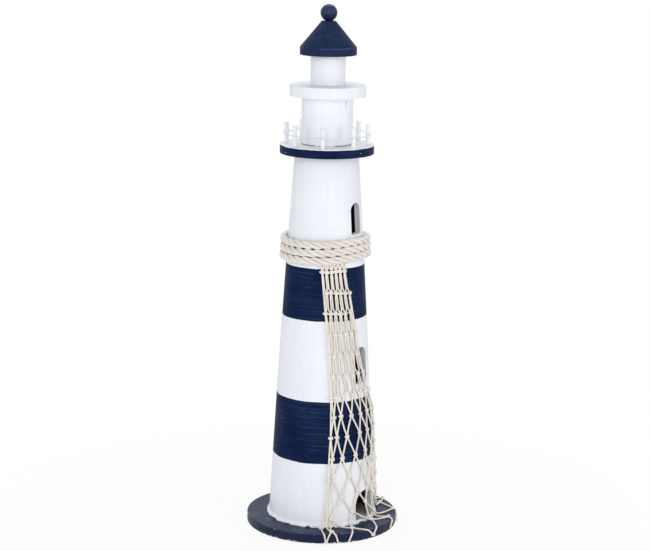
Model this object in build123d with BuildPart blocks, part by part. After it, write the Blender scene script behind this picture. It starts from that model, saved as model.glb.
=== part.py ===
"""Wooden lighthouse figurine: a hollow turned tower on a round base, with a walkway, a lantern,
a roof, a rope winding and a hanging fishing net. Millimetres, +Z up, origin under the base."""

import os
from math import cos, pi, radians, sin, sqrt

from build123d import *

# Base board
base_diameter = 174.0
base_thickness = 10.5
base_edge_round = 0.8

# Tower, a hollow turned cone with a slight belly, glued up from five rings
tower_foot_diameter = 122.6
tower_top_diameter = 72.4
tower_belly = 1.35
tower_wall = 7.5
foot_section_height = 73.5
lower_band_height = 72.5
middle_section_height = 91.5
upper_band_height = 60.5
top_section_height = 125.0
foot_bead_width = 2.4
foot_bead_height = 3.5
spigot_height = 6.0
plug_thickness = 10.0
plug_lip = 3.5

# Arched openings, all on the -Y side, with each sill measured from the foot of its ring
door_width = 33.0
door_height = 36.5
middle_window_width = 22.5
middle_window_height = 41.5
middle_window_sill = 17.0
upper_window_width = 18.0
upper_window_height = 35.5
upper_window_sill = 36.5

# Walkway and railing
gallery_diameter = 106.5
gallery_thickness = 10.5
post_count = 8
post_diameter = 5.0
post_height = 23.0
post_seat_depth = 6.0
post_circle_diameter = 92.5
post_first_angle = -152.0
rail_cord_diameter = 1.2
rail_cord_height = 12.0
rail_knot_diameter = 3.0
rail_knot_length = 4.0

# Lantern and roof
lantern_diameter = 58.0
lantern_height = 54.0
canopy_diameter = 86.0
canopy_thickness = 12.5
drum_diameter = 39.0
drum_height = 33.5
roof_diameter = 64.0
roof_brim_height = 8.5
roof_cone_height = 29.0
roof_top_diameter = 16.0
ball_diameter = 19.0
ball_flat_depth = 0.5
turned_edge_round = 0.6

# Hidden pins and screws
dowel_diameter = 10.0
dowel_depth = 13.0
finial_dowel_diameter = 5.0
finial_dowel_depth = 9.0
dowel_chamfer = 0.6
screw_count = 4
screw_first_angle = 45.0
screw_diameter = 3.5
screw_length = 30.0
screw_head_diameter = 7.0
screw_head_inset = 0.4
screw_tip_length = 3.0
screw_recess_width = 1.0
screw_recess_span = 4.0
screw_recess_depth = 1.4

# Rope winding
rope_diameter = 8.8
rope_pitch = 9.9
rope_turns = 3
rope_start_angle = 33.5
rope_start_height = 3.75

# Fishing net
net_thickness = 1.8
net_strand_width = 1.7
net_meshes = 6
net_tower_rows = 12
net_foot_rows = 2
net_top_gap = 1.3
net_left_angles = (-150.0, -138.0)
net_right_angles = (-115.0, -49.0)
net_spread = 0.5
net_lift = 12.0
net_rim_margin = 1.2

# Clearances
pin_clearance = 0.1
joint_clearance = 0.1
end_clearance = 0.3
soft_clearance = 0.35

# Heights of the faces, from the floor upwards
base_top = base_thickness
lower_band_z = base_top + foot_section_height
middle_section_z = lower_band_z + lower_band_height
upper_band_z = middle_section_z + middle_section_height
top_section_z = upper_band_z + upper_band_height
tower_top_z = top_section_z + top_section_height
deck_z = tower_top_z + gallery_thickness
canopy_z = deck_z + lantern_height
drum_z = canopy_z + canopy_thickness
roof_z = drum_z + drum_height
brim_top_z = roof_z + roof_brim_height
roof_top_z = brim_top_z + roof_cone_height
joint_heights = [base_top, lower_band_z, middle_section_z, upper_band_z, top_section_z, tower_top_z]

os.makedirs("parts", exist_ok=True)


def save(piece, name):
    piece.label = name
    export_step(piece, f"parts/{name}.step")


def belly_radius(z):
    """Outer radius of the tower at a joint, on its bellied outline."""
    share = (z - base_top) / (tower_top_z - base_top)
    straight = tower_foot_diameter + (tower_top_diameter - tower_foot_diameter) * share
    return straight / 2 + 4 * tower_belly * share * (1 - share)


def tower_radius(z):
    """Outer radius of the tower at a height: each ring is a straight cone between its joints."""
    low = max([joint for joint in joint_heights[:-1] if joint <= z], default=joint_heights[0])
    high = joint_heights[joint_heights.index(low) + 1]
    return belly_radius(low) + (belly_radius(high) - belly_radius(low)) * (z - low) / (high - low)


def polar(radius, angle, z):
    return Vector(radius * cos(radians(angle)), radius * sin(radians(angle)), z)


# Base board with its countersunk screw holes
screw_circle = (tower_foot_diameter - tower_wall) / 2

with BuildPart() as base_disc:
    with BuildSketch():
        Circle(base_diameter / 2)
    extrude(amount=base_thickness)
    fillet(base_disc.edges().filter_by(GeomType.CIRCLE), base_edge_round)
    with Locations(base_disc.faces().sort_by(Axis.Z)[0]):
        with PolarLocations(screw_circle, screw_count, start_angle=screw_first_angle):
            CounterSinkHole(
                screw_diameter / 2 + pin_clearance,
                screw_head_diameter / 2 + pin_clearance + screw_head_inset,
                counter_sink_angle=90,
            )
save(base_disc.part, "base_disc")


# Wood screws, heads up into the underside of the base
screw_neck_z = screw_head_inset + (screw_head_diameter - screw_diameter) / 2
screw_tip_z = screw_head_inset + screw_length

with BuildPart() as screw:
    with BuildSketch(Plane.XZ):
        Polygon(
            (0, screw_head_inset),
            (screw_head_diameter / 2, screw_head_inset),
            (screw_diameter / 2, screw_neck_z),
            (screw_diameter / 2, screw_tip_z - screw_tip_length),
            (0, screw_tip_z),
            align=None,
        )
    revolve(axis=Axis.Z)
    with BuildSketch(Plane.XY.offset(screw_head_inset)):
        Rectangle(screw_recess_span, screw_recess_width)
        Rectangle(screw_recess_width, screw_recess_span)
    extrude(amount=screw_recess_depth, mode=Mode.SUBTRACT)

with BuildPart() as base_screws:
    with PolarLocations(screw_circle, screw_count, start_angle=screw_first_angle):
        add(screw.part)
save(base_screws.part, "base_screws")


# Tower rings, each with a step below for the ring under it and a spigot above for the next
def tower_ring(z_low, z_high, first=False, last=False):
    wall_low = tower_radius(z_low)
    wall_high = belly_radius(z_high)
    if first:
        bead_z = z_low + foot_bead_height
        bore_low = z_low
        foot = [
            (wall_low - tower_wall, z_low),
            (wall_low + foot_bead_width, z_low),
            (tower_radius(bead_z), bead_z),
        ]
    else:
        bore_low = z_low + spigot_height + end_clearance
        step = wall_low - tower_wall / 2 + joint_clearance
        foot = [
            (tower_radius(bore_low) - tower_wall, bore_low),
            (step, bore_low),
            (step, z_low),
            (wall_low, z_low),
        ]
    if last:
        bore_high = z_high - plug_thickness
        seat = wall_high - plug_lip
        bore_high_radius = tower_radius(bore_high) - tower_wall
    else:
        bore_high = z_high + spigot_height
        seat = wall_high - tower_wall / 2
        bore_high_radius = wall_high - tower_wall
    head = [(wall_high, z_high), (seat, z_high), (seat, bore_high), (bore_high_radius, bore_high)]
    with BuildPart() as ring:
        with BuildSketch(Plane.XZ):
            Polygon(*foot, *head, align=None)
        revolve(axis=Axis.Z)
    return ring.part


def arch(width, height, sill_z):
    """Outline of an opening with a round head, standing on its sill and facing -Y."""
    straight = height - width / 2
    with BuildSketch(Plane.XZ) as outline:
        with Locations((0, sill_z)):
            Rectangle(width, straight, align=(Align.CENTER, Align.MIN))
        with Locations((0, sill_z + straight)):
            Circle(width / 2)
    return outline.sketch


with BuildPart() as tower_foot_section:
    add(tower_ring(base_top, lower_band_z, first=True))
    doorway = arch(door_width, base_top + door_height, 0)
    extrude(doorway, amount=base_diameter / 2, mode=Mode.SUBTRACT)
    with Locations(Plane.XY.offset(base_top)):
        with PolarLocations(screw_circle, screw_count, start_angle=screw_first_angle):
            Cylinder(
                screw_diameter / 2 + pin_clearance,
                screw_tip_z - base_top + end_clearance,
                align=(Align.CENTER, Align.CENTER, Align.MIN),
                mode=Mode.SUBTRACT,
            )
save(tower_foot_section.part, "tower_foot_section")

with BuildPart() as tower_lower_navy_band:
    add(tower_ring(lower_band_z, middle_section_z))
save(tower_lower_navy_band.part, "tower_lower_navy_band")

with BuildPart() as tower_middle_section:
    add(tower_ring(middle_section_z, upper_band_z))
    window = arch(middle_window_width, middle_window_height, middle_section_z + middle_window_sill)
    extrude(window, amount=base_diameter / 2, mode=Mode.SUBTRACT)
save(tower_middle_section.part, "tower_middle_section")

with BuildPart() as tower_upper_navy_band:
    add(tower_ring(upper_band_z, top_section_z))
save(tower_upper_navy_band.part, "tower_upper_navy_band")

with BuildPart() as tower_top_section:
    add(tower_ring(top_section_z, tower_top_z, last=True))
    window = arch(upper_window_width, upper_window_height, top_section_z + upper_window_sill)
    extrude(window, amount=base_diameter / 2, mode=Mode.SUBTRACT)
save(tower_top_section.part, "tower_top_section")


# Turned pieces above the tower, each a disc or drum with bores for the pins
def pin_bore(z_low, z_high, pin_diameter):
    """Cut a bore on the axis for a pin between two heights, with its clearance."""
    with Locations((0, 0, z_low)):
        Cylinder(
            pin_diameter / 2 + pin_clearance,
            z_high - z_low,
            align=(Align.CENTER, Align.CENTER, Align.MIN),
            mode=Mode.SUBTRACT,
        )


def turned_drum(diameter, z_low, z_high):
    with BuildPart() as drum:
        with BuildSketch(Plane.XY.offset(z_low)):
            Circle(diameter / 2)
        extrude(amount=z_high - z_low)
        fillet(drum.edges().filter_by(GeomType.CIRCLE), turned_edge_round)
    return drum.part


pin_reach = dowel_depth + end_clearance

with BuildPart() as tower_top_plug:
    with BuildSketch(Plane.XY.offset(tower_top_z - plug_thickness)):
        Circle(tower_radius(tower_top_z) - plug_lip - joint_clearance)
    extrude(amount=plug_thickness)
    pin_bore(tower_top_z - plug_thickness, tower_top_z, dowel_diameter)
save(tower_top_plug.part, "tower_top_plug")

with BuildPart() as gallery_disc:
    add(turned_drum(gallery_diameter, tower_top_z, deck_z))
    pin_bore(tower_top_z, deck_z, dowel_diameter)
    with Locations(Plane.XY.offset(deck_z)):
        with PolarLocations(post_circle_diameter / 2, post_count, start_angle=post_first_angle):
            Hole(post_diameter / 2 + pin_clearance, depth=post_seat_depth)
save(gallery_disc.part, "gallery_disc")

with BuildPart() as lantern_room:
    add(turned_drum(lantern_diameter, deck_z, canopy_z))
    pin_bore(deck_z, deck_z + pin_reach, dowel_diameter)
    pin_bore(canopy_z - pin_reach, canopy_z, dowel_diameter)
save(lantern_room.part, "lantern_room")

with BuildPart() as canopy_disc:
    add(turned_drum(canopy_diameter, canopy_z, drum_z))
    pin_bore(canopy_z, drum_z, dowel_diameter)
save(canopy_disc.part, "canopy_disc")

with BuildPart() as lantern_drum:
    add(turned_drum(drum_diameter, drum_z, roof_z))
    pin_bore(drum_z, drum_z + pin_reach, dowel_diameter)
    pin_bore(roof_z - pin_reach, roof_z, dowel_diameter)
save(lantern_drum.part, "lantern_drum")

with BuildPart() as roof_cone:
    with BuildSketch(Plane.XZ):
        Polygon(
            (0, roof_z),
            (roof_diameter / 2, roof_z),
            (roof_diameter / 2, brim_top_z),
            (roof_top_diameter / 2, roof_top_z),
            (0, roof_top_z),
            align=None,
        )
    revolve(axis=Axis.Z)
    fillet(roof_cone.edges().filter_by(GeomType.CIRCLE), turned_edge_round)
    pin_bore(roof_z, roof_z + pin_reach, dowel_diameter)
    pin_bore(roof_top_z - finial_dowel_depth - end_clearance, roof_top_z, finial_dowel_diameter)
save(roof_cone.part, "roof_cone")

ball_centre_z = roof_top_z + ball_diameter / 2 - ball_flat_depth

with BuildPart() as finial_ball:
    with Locations((0, 0, ball_centre_z)):
        Sphere(ball_diameter / 2)
    split(bisect_by=Plane.XY.offset(roof_top_z), keep=Keep.TOP)
    pin_bore(roof_top_z, roof_top_z + finial_dowel_depth + end_clearance, finial_dowel_diameter)
save(finial_ball.part, "finial_ball")


# Wooden pins inside the turned pieces
def dowel(name, diameter, z_low, z_high):
    with BuildPart() as pin:
        with BuildSketch(Plane.XY.offset(z_low)):
            Circle(diameter / 2)
        extrude(amount=z_high - z_low)
        chamfer(pin.edges().filter_by(GeomType.CIRCLE), dowel_chamfer)
    save(pin.part, name)


dowel("gallery_dowel", dowel_diameter, tower_top_z - plug_thickness, deck_z + dowel_depth)
dowel("canopy_dowel", dowel_diameter, canopy_z - dowel_depth, drum_z + dowel_depth)
dowel("roof_dowel", dowel_diameter, roof_z - dowel_depth, roof_z + dowel_depth)
dowel(
    "finial_dowel",
    finial_dowel_diameter,
    roof_top_z - finial_dowel_depth,
    roof_top_z + finial_dowel_depth,
)


# Railing posts, let into the deck
post_step = 360 / post_count

for number in range(post_count):
    foot = polar(post_circle_diameter / 2, post_first_angle + number * post_step, deck_z)
    with BuildPart() as railing_post:
        with BuildSketch(Plane(foot - Vector(0, 0, post_seat_depth))):
            Circle(post_diameter / 2)
        extrude(amount=post_seat_depth + post_height)
        fillet(railing_post.edges().sort_by(Axis.Z)[-1], turned_edge_round)
    save(railing_post.part, f"railing_post_{number + 1}")


# String round the outside of the posts, from its knot at the back all the way round
cord_bend = post_diameter / 2 + soft_clearance + rail_cord_diameter / 2
cord_flat = post_circle_diameter / 2 * cos(radians(post_step / 2)) + cord_bend
cord_corner = cord_flat / cos(radians(post_step / 2))
cord_z = deck_z + rail_cord_height
knot_angle = post_first_angle + post_step * (post_count // 2 + 0.5)
knot_centre = polar(cord_flat, knot_angle, cord_z)
along_cord = polar(1, knot_angle + 90, 0)
cord_corners = [
    polar(cord_corner, knot_angle + post_step * (number + 0.5), cord_z) for number in range(post_count)
]
cord_start = knot_centre + along_cord * (rail_knot_length / 2)
cord_end = knot_centre - along_cord * (rail_knot_length / 2)

with BuildPart() as rail_cord:
    with BuildLine() as cord_line:
        FilletPolyline(cord_start, *cord_corners, cord_end, radius=cord_bend)
    with BuildSketch(Plane(cord_start, z_dir=along_cord)):
        Circle(rail_cord_diameter / 2)
    sweep()
save(rail_cord.part, "rail_cord")
cord_section = pi * (rail_cord_diameter / 2) ** 2
print(f"rail cord volume over section times length: "
      f"{rail_cord.part.volume / (cord_section * cord_line.wires()[0].length):.4f}")

with BuildPart() as rail_cord_knot:
    with BuildSketch(Plane(cord_end, z_dir=along_cord)):
        Circle(rail_knot_diameter / 2)
    extrude(amount=rail_knot_length)
    fillet(rail_cord_knot.edges().filter_by(GeomType.CIRCLE), rail_knot_diameter / 4)
save(rail_cord_knot.part, "rail_cord_knot")


# Rope winding, one tube on pairs of tangent arcs, a pair for each quarter turn
def rope_rise(angle):
    return top_section_z + rope_start_height + rope_pitch * (angle - rope_start_angle) / 360


def rope_point(angle):
    z = rope_rise(angle)
    return polar(tower_radius(z) + soft_clearance + rope_diameter / 2, angle, z)


def rope_direction(angle):
    step = 0.01
    return (rope_point(angle + step) - rope_point(angle - step)).normalized()


def arc_pair(start, start_dir, end, end_dir):
    """Two tangent arcs from one point and direction to the next."""
    across = end - start
    both = start_dir + end_dir
    twice_bend = 2 * (1 - start_dir.dot(end_dir))
    reach = sqrt(across.dot(both) ** 2 + twice_bend * across.dot(across)) - across.dot(both)
    reach = reach / twice_bend
    middle = (start + end + (start_dir - end_dir) * reach) / 2
    middle_dir = (end - end_dir * reach) - (start + start_dir * reach)
    TangentArc(start, middle, tangent=start_dir)
    TangentArc(middle, end, tangent=middle_dir)


rope_quarters = [rope_start_angle + 90 * number for number in range(4 * rope_turns + 1)]

with BuildPart() as rope_wrap:
    with BuildLine() as rope_line:
        first_dir = rope_direction(rope_quarters[0])
        last_dir = rope_direction(rope_quarters[-1])
        rope_head = rope_point(rope_quarters[0]) - first_dir * rope_diameter
        Line(rope_head, rope_point(rope_quarters[0]))
        for angle in rope_quarters[:-1]:
            arc_pair(
                rope_point(angle),
                rope_direction(angle),
                rope_point(angle + 90),
                rope_direction(angle + 90),
            )
        rope_tail = rope_point(rope_quarters[-1]) + last_dir * rope_diameter
        Line(rope_point(rope_quarters[-1]), rope_tail)
    with BuildSketch(Plane(rope_head, z_dir=first_dir)):
        Circle(rope_diameter / 2)
    sweep()
save(rope_wrap.part, "rope_wrap")

rope_path = rope_line.wires()[0]
rope_section = pi * (rope_diameter / 2) ** 2
print(f"rope length {rope_path.length:.0f}, volume over section times length: "
      f"{rope_wrap.part.volume / (rope_section * rope_path.length):.4f}")
rope_samples = 360
rope_marks = [rope_path.position_at(number / rope_samples) for number in range(rope_samples + 1)]
apart = rope_samples // (2 * rope_turns)
rope_gap = min(
    (rope_marks[first] - rope_marks[second]).length
    for first in range(rope_samples + 1)
    for second in range(first + apart, rope_samples + 1)
) - rope_diameter
print(f"least gap of the rope to itself: {rope_gap:.2f}")


# Fishing net: a holed sheet on the tower, joined at its knots to a holed sheet on the base
net_top_z = rope_rise(net_left_angles[0] + 360) - rope_diameter / 2 - net_top_gap
net_inner = base_top + soft_clearance
net_corner_radius = tower_foot_diameter / 2 + foot_bead_width + soft_clearance
net_rim_radius = base_diameter / 2 - net_rim_margin
net_turn = (net_left_angles[0] + net_right_angles[1]) / 2


def net_angle(row, place):
    """Polar angle of a knot: the net hangs gathered at the top and opens towards the foot."""
    share = min(row / net_tower_rows, 1)
    left = net_left_angles[0] + (net_left_angles[1] - net_left_angles[0]) * share
    opened = share * share * (3 - 2 * share)
    right = net_right_angles[0] + (net_right_angles[1] - net_right_angles[0]) * opened
    return left + (right - left) * (place / net_meshes) ** (1 + net_spread * share)


def net_height(row, place):
    share = row / net_tower_rows
    lift = net_lift * sin(pi * share) * place / net_meshes
    return net_top_z + (net_inner - net_top_z) * share + lift


def net_tower_radius(z):
    return tower_radius(z) + soft_clearance


def seen_on_tower(row, place):
    """A knot on the tower, seen square on from the middle of the net."""
    z = net_height(row, place)
    return (net_tower_radius(z) * sin(radians(net_angle(row, place) - net_turn)), z)


def seen_on_base(row, place):
    """A knot on the base, seen from above."""
    share = (row - net_tower_rows) / net_foot_rows
    radius = net_corner_radius + (net_rim_radius - net_corner_radius) * share
    point = polar(radius, net_angle(row, place), 0)
    return (point.X, point.Y)


def knot_places(row):
    """Places of the knots along a row: whole numbers and halves in turn."""
    if row % 2:
        return [number + 0.5 for number in range(net_meshes)]
    return [float(number) for number in range(net_meshes + 1)]


def net_sheet(seen, first_row, last_row):
    """Sketch of the net between two rows, with its meshes cut out."""
    left = [seen(row, knot_places(row)[0]) for row in range(first_row, last_row + 1)]
    right = [seen(row, knot_places(row)[-1]) for row in range(last_row, first_row - 1, -1)]
    foot = []
    for place in knot_places(last_row)[:-1]:
        foot.append(seen(last_row, place))
        foot.append(seen(last_row - 1, place + 0.5))
    head = []
    for place in reversed(knot_places(first_row)[:-1]):
        head.append(seen(first_row + 1, place + 0.5))
        head.append(seen(first_row, place))
    with BuildSketch() as sheet:
        Polygon(*left[:-1], *foot, *right, *head[:-1], align=None)
        offset(amount=net_strand_width / 2, kind=Kind.INTERSECTION)
    with BuildSketch() as meshes:
        for row in range(first_row + 1, last_row):
            places = knot_places(row)
            for place in places[:-1]:
                with BuildSketch(mode=Mode.PRIVATE) as mesh:
                    Polygon(
                        seen(row - 1, place + 0.5),
                        seen(row, place),
                        seen(row + 1, place + 0.5),
                        seen(row, place + 1),
                        align=None,
                    )
                    offset(amount=-net_strand_width / 2, kind=Kind.INTERSECTION, mode=Mode.REPLACE)
                add(mesh.sketch)
    with BuildSketch() as net:
        add(sheet.sketch)
        add(meshes.sketch, mode=Mode.SUBTRACT)
    return net.sketch


hanging_plane = Plane(
    origin=(0, 0, 0),
    x_dir=polar(1, net_turn + 90, 0),
    z_dir=polar(1, net_turn, 0),
)
net_bend_z = base_top + foot_bead_height + soft_clearance
net_head_z = net_top_z + net_strand_width / 2
net_levels = [z for z in joint_heights if net_bend_z < z < net_head_z]
net_back = [(net_tower_radius(z), z) for z in [net_bend_z, *net_levels, net_head_z]]
net_back.insert(0, (net_corner_radius, net_inner))
net_face = [(radius + net_thickness, z) for radius, z in reversed(net_back)]

with BuildPart() as fishing_net:
    with BuildSketch(Plane.XZ):
        Polygon(*net_back, *net_face, align=None)
    revolve(axis=Axis.Z)
    with BuildSketch(hanging_plane):
        add(net_sheet(seen_on_tower, 0, net_tower_rows))
    extrude(amount=base_diameter / 2, mode=Mode.INTERSECT)
    with BuildSketch(Plane.XY.offset(net_inner)):
        Circle(net_rim_radius)
        Circle(net_corner_radius, mode=Mode.SUBTRACT)
        add(net_sheet(seen_on_base, net_tower_rows, net_tower_rows + net_foot_rows), mode=Mode.INTERSECT)
    extrude(amount=net_thickness)
save(fishing_net.part, "fishing_net")
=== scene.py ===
"""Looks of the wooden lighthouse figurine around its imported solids: paint, rope, net, string and light.
Metres, +Z up, origin under the base. The door and both windows face -Y."""

import math
import random

import bmesh
import bpy
from mathutils import Matrix, Vector, kdtree, noise


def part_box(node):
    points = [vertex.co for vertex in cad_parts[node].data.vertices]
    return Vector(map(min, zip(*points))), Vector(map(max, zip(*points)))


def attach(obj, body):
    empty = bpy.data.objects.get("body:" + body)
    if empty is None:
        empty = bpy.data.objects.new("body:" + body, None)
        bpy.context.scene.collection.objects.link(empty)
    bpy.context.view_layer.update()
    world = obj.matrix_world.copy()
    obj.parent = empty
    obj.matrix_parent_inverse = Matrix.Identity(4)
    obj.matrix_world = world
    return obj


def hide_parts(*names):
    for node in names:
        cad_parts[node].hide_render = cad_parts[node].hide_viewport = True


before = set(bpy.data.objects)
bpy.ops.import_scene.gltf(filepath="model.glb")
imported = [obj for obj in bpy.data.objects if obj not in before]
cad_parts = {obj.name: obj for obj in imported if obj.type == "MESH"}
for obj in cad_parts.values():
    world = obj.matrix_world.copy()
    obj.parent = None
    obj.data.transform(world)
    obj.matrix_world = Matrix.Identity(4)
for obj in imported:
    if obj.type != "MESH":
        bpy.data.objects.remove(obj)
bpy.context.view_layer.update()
scene = bpy.context.scene


# Sizes and places that the frame gives
def foot_of(node):
    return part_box(node)[0].z


def top_of(node):
    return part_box(node)[1].z


def reach_of(node):
    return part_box(node)[1].x


tower_rings = [
    "tower_foot_section",
    "tower_lower_navy_band",
    "tower_middle_section",
    "tower_upper_navy_band",
    "tower_top_section",
]
railing_posts = [f"railing_post_{number}" for number in range(1, 9)]
base_radius = reach_of("base_disc")
base_top = top_of("base_disc")
tower_top = foot_of("gallery_disc")
deck = top_of("gallery_disc")
top_section = foot_of("tower_top_section")
lantern_radius = reach_of("lantern_room")
lantern_top = top_of("lantern_room")
gallery_radius = reach_of("gallery_disc")
# Sizes of the solids that no box gives. The lip is the tower's edge round its top plug
foot_bead_width = 0.0024
plug_lip = 0.0036
tower_wall = 0.0075
roof_brim = 0.0085
ball_radius = 0.0095
foot_radius = reach_of("tower_foot_section") - foot_bead_width
brim_edge = foot_of("roof_cone") + roof_brim
ball_middle = top_of("finial_ball") - ball_radius
# Height and outer radius at each joint of the tower
tower_outline = [(foot_of(ring), reach_of(ring)) for ring in tower_rings]
tower_outline[0] = (base_top, foot_radius)
tower_outline.append((tower_top, reach_of("tower_top_plug") + plug_lip))


def tower_radius(z):
    """Outer radius of the tower at a height, straight between the joints of its rings."""
    for (low, low_radius), (high, high_radius) in zip(tower_outline, tower_outline[1:]):
        if z <= high:
            break
    return low_radius + (high_radius - low_radius) * (z - low) / (high - low)


def polar(radius, degrees, z):
    angle = math.radians(degrees)
    return Vector((radius * math.cos(angle), radius * math.sin(angle), z))


def from_axis(point):
    return Vector((point.x, point.y, 0))


# New objects and meshes
def add_object(name, data):
    thing = bpy.data.objects.new(name, data)
    scene.collection.objects.link(thing)
    return thing


def write_mesh(shape, mesh, material):
    """Ends a shape as a smooth mesh with its faces outwards."""
    bmesh.ops.recalc_face_normals(shape, faces=shape.faces)
    for face in shape.faces:
        face.smooth = True
    shape.to_mesh(mesh)
    shape.free()
    mesh.materials.clear()
    mesh.materials.append(material)


# Camera at the photograph's angle, with its small roll
camera_azimuth = -56.3
camera_distance = 2.1043
camera_height = 0.7295
camera_pitch = 11.75
camera_roll = 0.87
camera_lens = 104.0
camera_sensor = 36.0


def place_camera():
    lens = bpy.data.cameras.new("camera")
    lens.lens = camera_lens
    lens.sensor_width = camera_sensor
    camera = add_object("camera", lens)
    turn = Matrix.Rotation(math.radians(camera_azimuth), 3, "Z")
    tilt = Matrix.Rotation(math.radians(90 - camera_pitch), 3, "X")
    roll = Matrix.Rotation(math.radians(camera_roll), 3, "Z")
    camera.rotation_euler = (turn @ tilt @ roll).to_euler()
    camera.location = turn @ Vector((0, -camera_distance, camera_height))
    scene.camera = camera


# Material nodes
class Finish:
    """A node material, with short calls for the nodes that a finish is made of."""

    def __init__(self, name):
        self.material = bpy.data.materials.new(name)
        self.material.use_nodes = True
        self.tree = self.material.node_tree
        self.shader = self.tree.nodes["Principled BSDF"]
        coordinates = self.tree.nodes.new("ShaderNodeTexCoord")
        self.place = coordinates.outputs["Object"]
        self.uv = coordinates.outputs["UV"]
        split = self.add("ShaderNodeSeparateXYZ", {0: self.place})
        self.x, self.y, self.z = split.outputs

    def add(self, kind, inputs, **settings):
        node = self.tree.nodes.new(kind)
        for key, value in settings.items():
            setattr(node, key, value)
        for key, value in inputs.items():
            if isinstance(value, bpy.types.NodeSocket):
                self.tree.links.new(value, node.inputs[key])
            else:
                node.inputs[key].default_value = value
        return node

    def maths(self, operation, first, second=0.0, third=0.0):
        inputs = {0: first, 1: second, 2: third}
        return self.add("ShaderNodeMath", inputs, operation=operation).outputs[0]

    def times(self, first, second):
        return self.maths("MULTIPLY", first, second)

    def most(self, first, second):
        return self.maths("MAXIMUM", first, second)

    def vectors(self, operation, first, second=(0, 0, 0)):
        return self.add("ShaderNodeVectorMath", {0: first, 1: second}, operation=operation).outputs

    def noise(self, scale, detail=2.0, roughness=0.5, vector=None):
        inputs = {"Scale": scale, "Detail": detail, "Roughness": roughness}
        inputs["Vector"] = self.place if vector is None else vector
        return self.add("ShaderNodeTexNoise", inputs).outputs["Fac"]

    def streaks(self, scales, detail=2.0, roughness=0.5):
        """Noise that is drawn out along the axes with the smaller scales."""
        inputs = {"Vector": self.place, "Scale": scales}
        drawn_out = self.add("ShaderNodeMapping", inputs).outputs[0]
        return self.noise(1, detail, roughness, drawn_out)

    def spots(self, scale, size):
        """1 inside small round spots, each in about one cell of the given scale."""
        cells = self.add("ShaderNodeTexVoronoi", {"Vector": self.place, "Scale": scale})
        luck = self.add("ShaderNodeSeparateColor", {0: cells.outputs["Color"]}).outputs[0]
        reach = self.times(self.ramp(luck, 0.55, 1.0), size)
        return self.maths("LESS_THAN", cells.outputs["Distance"], reach)

    def ramp(self, value, low, high):
        """0 at low and 1 at high, smooth between."""
        inputs = {"Value": value, "From Min": low, "From Max": high}
        node = self.add("ShaderNodeMapRange", inputs, interpolation_type="SMOOTHSTEP")
        return node.outputs["Result"]

    def span(self, value, low, high):
        """Low where the value is 0 and high where it is 1."""
        inputs = {"Value": value, "To Min": low, "To Max": high}
        return self.add("ShaderNodeMapRange", inputs).outputs["Result"]

    def mix(self, share, first, second):
        inputs = {0: share}
        for key, colour in ((6, first), (7, second)):
            inputs[key] = colour if isinstance(colour, bpy.types.NodeSocket) else (*colour, 1)
        return self.add("ShaderNodeMix", inputs, data_type="RGBA").outputs[2]

    def radius(self):
        flat = self.add("ShaderNodeCombineXYZ", {0: self.x, 1: self.y}).outputs[0]
        return self.vectors("LENGTH", flat)["Value"]

    def distance(self, spot, scale=(1, 1, 1)):
        """How far a place is from a spot, with each axis counted to a scale."""
        away = self.vectors("SUBTRACT", self.place, spot)[0]
        away = self.vectors("MULTIPLY", away, scale)[0]
        return self.vectors("LENGTH", away)["Value"]

    def bump(self, height, distance, strength=1.0, normal=None):
        inputs = {"Height": height, "Distance": distance, "Strength": strength}
        if normal is not None:
            inputs["Normal"] = normal
        return self.add("ShaderNodeBump", inputs).outputs[0]

    def surface(self, colour, roughness, normal=None, specular=0.5):
        self.tree.links.new(colour, self.shader.inputs["Base Color"])
        if isinstance(roughness, bpy.types.NodeSocket):
            self.tree.links.new(roughness, self.shader.inputs["Roughness"])
        else:
            self.shader.inputs["Roughness"].default_value = roughness
        if normal is not None:
            self.tree.links.new(normal, self.shader.inputs["Normal"])
        self.shader.inputs["Specular IOR Level"].default_value = specular
        return self.material


# Colours of paint, wood and steel, and of painted shade and sheen
navy_deep = (0.0028, 0.0095, 0.039)
navy_worn = (0.022, 0.039, 0.107)
# Lighter navy: wear on the lathe scratches and base scuffs, painted sheen on the ball and the base's top,
# and a painted highlight on the roof's brim
navy_rubbed_and_sheen = (0.060, 0.085, 0.160)
white_body = (0.81, 0.82, 0.85)
white_brushed = (0.86, 0.865, 0.875)
primer_chip = (0.72, 0.70, 0.66)
dust_grey = (0.45, 0.42, 0.40)
crack_dark = (0.05, 0.045, 0.04)
run_grey = (0.35, 0.34, 0.35)
reveal_painted_shade = (0.30, 0.31, 0.32)
rope_gap_shade = (0.10, 0.07, 0.05)
bore_painted_shade = (0.050, 0.040, 0.032)
wood_pale = (0.36, 0.27, 0.18)
wood_dark = (0.20, 0.14, 0.09)
zinc_dark = (0.45, 0.45, 0.44)
zinc_bright = (0.62, 0.62, 0.60)
# Specular level of each paint
white_gloss = 0.3
band_gloss = 0.02
gallery_gloss = 0.03
roof_gloss = 0.04
ball_gloss = 0.08
base_gloss = 0.2
bead_gloss = 0.2
# Scales of drawn out noise on x, y and z
lathe_streaks = (14, 14, 900)
lathe_scratches = (70, 70, 1500)
lathe_rings = (10, 10, 620)
brush_streaks = (190, 190, 16)
brush_strokes = (150, 150, 7)
band_edge_waves = (55, 55, 20)
crack_breaks = (90, 90, 10)
paint_runs = (420, 420, 26)
wood_fibres = (300, 300, 14)
wood_stripes = (260, 260, 12)
# Paint lines: how far they wander, and how far they lie inside a band's ends or under the deck's edge
band_edge_wander = 0.0009
band_edge_inset = 0.0006
deck_edge_wander = 0.0007
deck_edge_inset = (0.0012, 0.0007)
# Depths in the tower's wall at which the painted shade of a window's reveal starts and ends, and the
# painted shade on the bore's bare wood starts
reveal_start = (0.0004, 0.0012)
reveal_end = (0.0052, 0.0040)
bore_shade_start = (tower_wall - 0.0012, tower_wall - 0.0004)
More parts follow.
